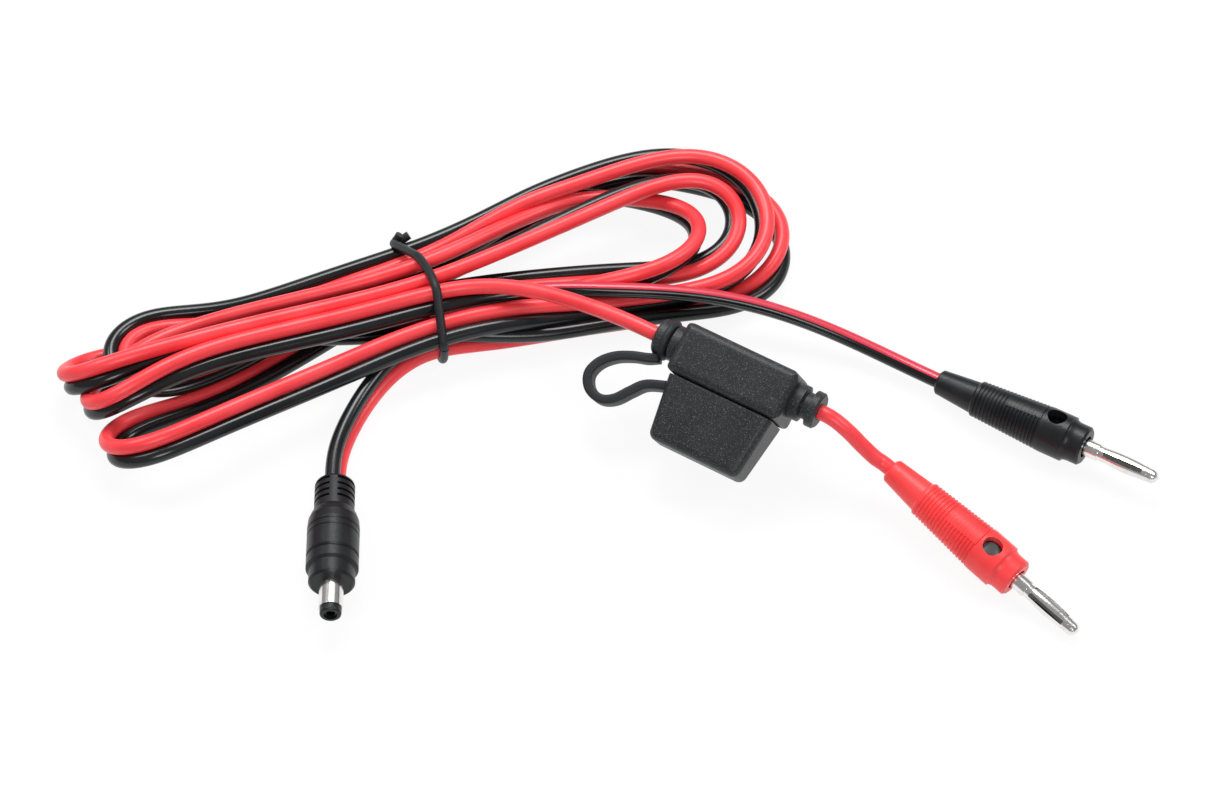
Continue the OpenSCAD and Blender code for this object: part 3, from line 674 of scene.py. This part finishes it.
def band(samples, half_width, half_thick):
    """Rings of points of a flat band with rounded edges along points with normals."""
    outline = []
    for corner, (cx, cy) in enumerate(((1, 1), (-1, 1), (-1, -1), (1, -1))):
        for k in range(5):
            angle = math.radians(90 * corner + 22.5 * k)
            outline.append((cx, cy, math.cos(angle), math.sin(angle)))
    rings = []
    for (x, z), (nx, nz), narrow in samples:
        soft = SOFT_EDGE * half_thick
        ring = []
        for cx, cy, ox, oy in outline:
            wide = cx * (half_width * narrow - soft) + ox * soft
            thick = cy * (half_thick - soft) + oy * soft
            ring.append(on_holder(x + nx * thick, wide, z + nz * thick))
        rings.append(ring)
    return rings


def strap_samples():
    """The loop's middle line with its normal, and how wide the band is there."""
    line = even_steps(STRAP_LINE, 0.7)
    way = np.gradient(line, axis=0)
    way /= np.linalg.norm(way, axis=1)[:, None]
    waist = 1 - NARROWING * np.sin(np.linspace(0, math.pi, len(line)))
    root = np.clip(np.linspace(0.6, 6, len(line)), 0, 1)
    normals = np.column_stack([-way[:, 1], way[:, 0]])
    return list(zip(line, normals, waist * root))


def skin(rings, closed):
    """Faces between rings of points, with caps where the row isn't closed."""
    n = len(rings[0])
    faces = []
    for i in range(len(rings) if closed else len(rings) - 1):
        j = (i + 1) % len(rings)
        for k in range(n):
            m = (k + 1) % n
            faces.append((i * n + k, i * n + m, j * n + m, j * n + k))
    if not closed:
        faces.append(tuple(range(n))[::-1])
        faces.append(tuple((len(rings) - 1) * n + k for k in range(n)))
    return faces


loop_rings = band(strap_samples(), STRAP_W / 2, STRAP_T / 2)
print("strap:", len(loop_rings), "rings")

# %% [markdown]
# The ring is a round cord bent round the neck where the wire enters the holder. Ring and loop go
# into one mesh, with all its faces turned outwards.

# %% The ring of the strap, and the strap as one piece
RING_X = -18.1
RING_R = 4.1
RING_CORD = 0.85
RING_CUTS = 48
RING_SIDES = 12
collar_rings = []
for k in range(RING_CUTS):
    turn = 2 * math.pi * k / RING_CUTS
    collar = []
    for corner in range(RING_SIDES):
        angle = 2 * math.pi * corner / RING_SIDES
        out = RING_R + RING_CORD * math.cos(angle)
        x = RING_X + RING_CORD * math.sin(angle)
        collar.append(on_holder(x, out * math.cos(turn), out * math.sin(turn)))
    collar_rings.append(collar)
points = [p for ring in loop_rings for p in ring]
faces = skin(loop_rings, False)
base = len(points)
points += [p for ring in collar_rings for p in ring]
faces += [tuple(base + v for v in face) for face in skin(collar_rings, True)]
strap = as_object("cap_strap", points, faces=faces)
bpy.context.view_layer.objects.active = strap
strap.select_set(True)
bpy.ops.object.mode_set(mode="EDIT")
bpy.ops.mesh.select_all(action="SELECT")
bpy.ops.mesh.normals_make_consistent(inside=False)
bpy.ops.object.mode_set(mode="OBJECT")
for polygon in strap.data.polygons:
    polygon.use_smooth = True

strap.data.materials.append(rubber(
    "strap_rubber", (0.012, 0.014, 0.016, 1), (0.022, 0.025, 0.028, 1),
    cloud_size=0.005, rough=0.38, cloud_share=0.12, grain_share=0.1, depth=0.00005))
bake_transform(strap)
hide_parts("cap_tether")
print("strap:", len(strap.data.polygons), "faces")

# %% [markdown]
# The moulded pieces are hard plastic. The plugs are satin with a faint orange peel. The fuse holder
# is spark-eroded: a coarse grain, with pale flecks painted on it as the glints where the grain
# catches the light.

# %% Moulded plastics
BLACK = (0.008, 0.009, 0.010, 1)
BLACK_WORN = (0.015, 0.016, 0.018, 1)
GRAINED = (0.010, 0.012, 0.014, 1)
GRAINED_WORN = (0.017, 0.020, 0.023, 1)
# Pale colour painted as the glints of the holder's grain.
PAINTED_GLINT = (0.30, 0.32, 0.34, 1)
RED = (0.90, 0.060, 0.062, 1)
RED_WORN = (0.82, 0.040, 0.044, 1)
AMBER = (0.72, 0.30, 0.03, 1)
AMBER_DEEP = (0.60, 0.22, 0.02, 1)


def moulded(name, colour, worn, rough, shine, grain_size, grain_depth, painted_glints=0.0):
    """A moulded plastic with its grain, and pale flecks painted as glints where the grain catches the
    light.
    """
    finish = Finish(name, {"Specular IOR Level": shine})
    cloud = finish.noise(0.008)
    grain = finish.noise(grain_size, 3.0)
    base = cloud.ramp(0.3, 0.8).blend(colour, worn)
    if painted_glints:
        # Painted highlight: pale flecks on the grain stand in for its glints.
        base = (grain.ramp(0.57, 0.69) * painted_glints).blend(base, PAINTED_GLINT)
    finish.feed("Base Color", base)
    finish.feed("Roughness", cloud * 0.1 + grain * 0.14 + (rough - 0.12))
    finish.bump(grain, grain_depth)
    return finish.material


def dress(material, *names):
    """Gives CAD nodes their finish."""
    for name in names:
        mesh = nodes[name].data
        mesh.materials.clear()
        mesh.materials.append(material)


dress(moulded("black_plug_plastic", BLACK, BLACK_WORN,
              rough=0.34, shine=0.3, grain_size=0.0005, grain_depth=0.00003),
      "dc_handle", "dc_collar", "dc_insulator", "black_shroud")
dress(moulded("red_plug_plastic", RED, RED_WORN,
              rough=0.36, shine=0.4, grain_size=0.0005, grain_depth=0.00003),
      "red_shroud")
dress(moulded("holder_plastic", GRAINED, GRAINED_WORN,
              rough=0.42, shine=0.4, grain_size=0.00024, grain_depth=0.00007, painted_glints=0.36),
      "holder_body", "fuse_cap")
dress(moulded("fuse_plastic", AMBER, AMBER_DEEP,
              rough=0.22, shine=0.5, grain_size=0.0008, grain_depth=0.00002),
      "fuse_case")
print("plastics: plugs, holder, fuse")

# %% [markdown]
# The pins, springs and the barrel are turned and nickel plated. Turning leaves fine rings round the
# axis, so the pattern runs on the distance along each plug's own axis. A pin has painted shade
# behind the mouth of its shroud, and a lighter painted shade where it shows between the leaves of
# its spring. The screws and the barrel's contact are painted dark as the shade in their holes.

# %% Turned metal
NICKEL = (0.88, 0.87, 0.85, 1)
NICKEL_DULL = (0.72, 0.71, 0.69, 1)
NICKEL_SHADE = (0.26, 0.25, 0.24, 1)
# Dark metal painted as the shade in the holes of the screws and the barrel's contact. The duller tone
# is also the painted shade on the pins inside the shrouds.
SHADED_DARK_METAL = (0.14, 0.14, 0.14, 1)
SHADED_DARK_METAL_DULL = (0.07, 0.07, 0.07, 1)
BRASS = (0.78, 0.58, 0.26, 1)
BRASS_DULL = (0.58, 0.42, 0.18, 1)
RING_PITCH = 0.0004
SHROUD = 38.1
SPRING_ENDS = (0.0034, 0.0156)
SPRING_FADE = 0.0002


def turned(name, axis, colour, dull, rough, mouth=None):
    """Plated metal with fine rings round an axis; painted shade behind a mouth that far along it, and
    between the spring's leaves.
    """
    finish = Finish(name, {"Metallic": 1.0})
    far = finish.ink.node("ShaderNodeVectorMath", {"operation": "DOT_PRODUCT"},
                          {0: finish.place, 1: axis}, "Value")
    rings = finish.ink.node("ShaderNodeTexNoise", {"noise_dimensions": "1D"},
                            {"W": far, "Scale": 1 / RING_PITCH})
    stain = finish.noise(0.003)
    tint = stain.ramp(0.35, 0.8).blend(colour, dull)
    if mouth is not None:
        # Painted shade: dark inside the shroud behind its mouth, and mid grey on the pin where it shows
        # between the spring's leaves.
        behind = (mouth - far).ramp(0.0005, 0.002)
        past = (far - (mouth + SPRING_ENDS[0])).ramp(0, SPRING_FADE)
        short = ((mouth + SPRING_ENDS[1]) - far).ramp(0, SPRING_FADE)
        tint = (past * short).blend(tint, NICKEL_SHADE)
        tint = behind.blend(tint, SHADED_DARK_METAL_DULL)
    finish.feed("Base Color", tint)
    finish.feed("Roughness", stain * 0.12 + rings * 0.12 + (rough - 0.1))
    finish.bump(rings, 0.000004)
    return finish.material


red_mouth = float(in_metres(RED_PLUG[0]) @ RED_PLUG[1]) + SHROUD * MM
black_mouth = float(in_metres(BLACK_PLUG[0]) @ BLACK_PLUG[1]) + SHROUD * MM
dress(turned("dc_nickel", DC_PLUG[1], NICKEL, NICKEL_DULL, rough=0.2), "dc_barrel")
dress(turned("red_nickel", RED_PLUG[1], NICKEL, NICKEL_DULL, rough=0.2, mouth=red_mouth),
      "red_pin")
dress(turned("black_nickel", BLACK_PLUG[1], NICKEL, NICKEL_DULL, rough=0.2, mouth=black_mouth),
      "black_pin")
dress(turned("red_leaves", RED_PLUG[1], NICKEL, NICKEL_DULL, rough=0.2), "red_spring")
dress(turned("black_leaves", BLACK_PLUG[1], NICKEL, NICKEL_DULL, rough=0.2), "black_spring")
# The screws and the barrel's contact are painted dark as the shade in their holes.
dress(turned("screw_painted_shade", (0, 0, 1), SHADED_DARK_METAL, SHADED_DARK_METAL_DULL, rough=0.45), "red_screw", "black_screw")
dress(turned("contact_painted_shade", DC_PLUG[1], SHADED_DARK_METAL, SHADED_DARK_METAL_DULL, rough=0.3), "dc_contact")
dress(turned("terminal_brass", HOLDER[1], BRASS, BRASS_DULL, rough=0.3), "terminal_in", "terminal_out")
dress(turned("blade_tin", HOLDER[1], NICKEL, NICKEL_DULL, rough=0.3), "fuse_blades")
# The steel in this list is the dark metal painted as shade in those holes.
print("metals: nickel, steel, brass, tin")

# %% [markdown]
# The photograph is a studio shot on white. The floor is white paper: what the camera sees of it is
# mostly its own white, with a share of real light so that the object's soft shadow stays.

# %% Floor and backdrop
FLOOR = 3.0
FLOOR_LOW = -0.0001
OWN_WHITE = 0.91


def paper():
    """White paper for the camera and in reflections, plain pale floor for the light."""
    finish = Finish("paper", {"Roughness": 0.9})
    fleck = finish.noise(0.05)
    finish.feed("Base Color", fleck.blend((0.86, 0.86, 0.86, 1), (0.90, 0.90, 0.90, 1)))
    seen = finish.ink.node("ShaderNodeLightPath", out="Is Camera Ray")
    seen = seen + finish.ink.node("ShaderNodeLightPath", out="Is Glossy Ray")
    seen = seen + finish.ink.node("ShaderNodeLightPath", out="Is Transmission Ray")
    glow = finish.ink.node("ShaderNodeEmission", None, {"Color": (1, 1, 1, 1), "Strength": 1.0})
    lit = Ink(finish.tree, finish.shader.outputs[0])
    own = seen.ramp(0, 1, False) * OWN_WHITE
    both = finish.ink.node("ShaderNodeMixShader", None, {0: own, 1: lit, 2: glow})
    finish.tree.links.new(both.socket, finish.tree.nodes["Material Output"].inputs["Surface"])
    return finish.material


corners = [(-FLOOR, -FLOOR), (FLOOR, -FLOOR), (FLOOR, FLOOR), (-FLOOR, FLOOR)]
floor = as_object("floor", [(x, y, FLOOR_LOW) for x, y in corners], faces=[(0, 1, 2, 3)])
floor.data.materials.append(paper())
print("floor:", FLOOR * 2, "m across")

# %% [markdown]
# A large dim soft box stands behind the bench, where the upper sides of the wires and pins mirror
# it, with a smaller bright one before it that draws the pale lines on the black wires. Three more
# fill from the sides and the front, and the world fills in evenly.

# %% Lights and world
def soft_box(name, place, size, power):
    """A square lamp that faces the middle of the bench."""
    lamp = bpy.data.lights.new(name, "AREA")
    lamp.size = size
    lamp.energy = power
    light = bpy.data.objects.new(name, lamp)
    light.location = place
    aim = Vector(in_metres([0, 0, 0])) - Vector(place)
    light.rotation_euler = aim.to_track_quat("-Z", "Y").to_euler()
    scene.collection.objects.link(light)


soft_box("box_back", (0.05, 0.75, 1.05), size=0.9, power=3.8)
soft_box("strip_back", (-0.06, 0.55, 1.0), size=0.42, power=5.5)
soft_box("box_left", (-0.75, 0.45, 1.0), size=0.45, power=5.0)
soft_box("box_right", (0.8, 0.1, 0.9), size=0.4, power=3.8)
soft_box("box_front", (0.0, -0.9, 0.8), size=0.4, power=3.8)
world = bpy.data.worlds.new("studio")
scene.world = world
world.use_nodes = True
air = world.node_tree.nodes["Background"]
air.inputs["Color"].default_value = (1, 1, 1, 1)
air.inputs["Strength"].default_value = 0.28
print("lights: five soft boxes and the world")
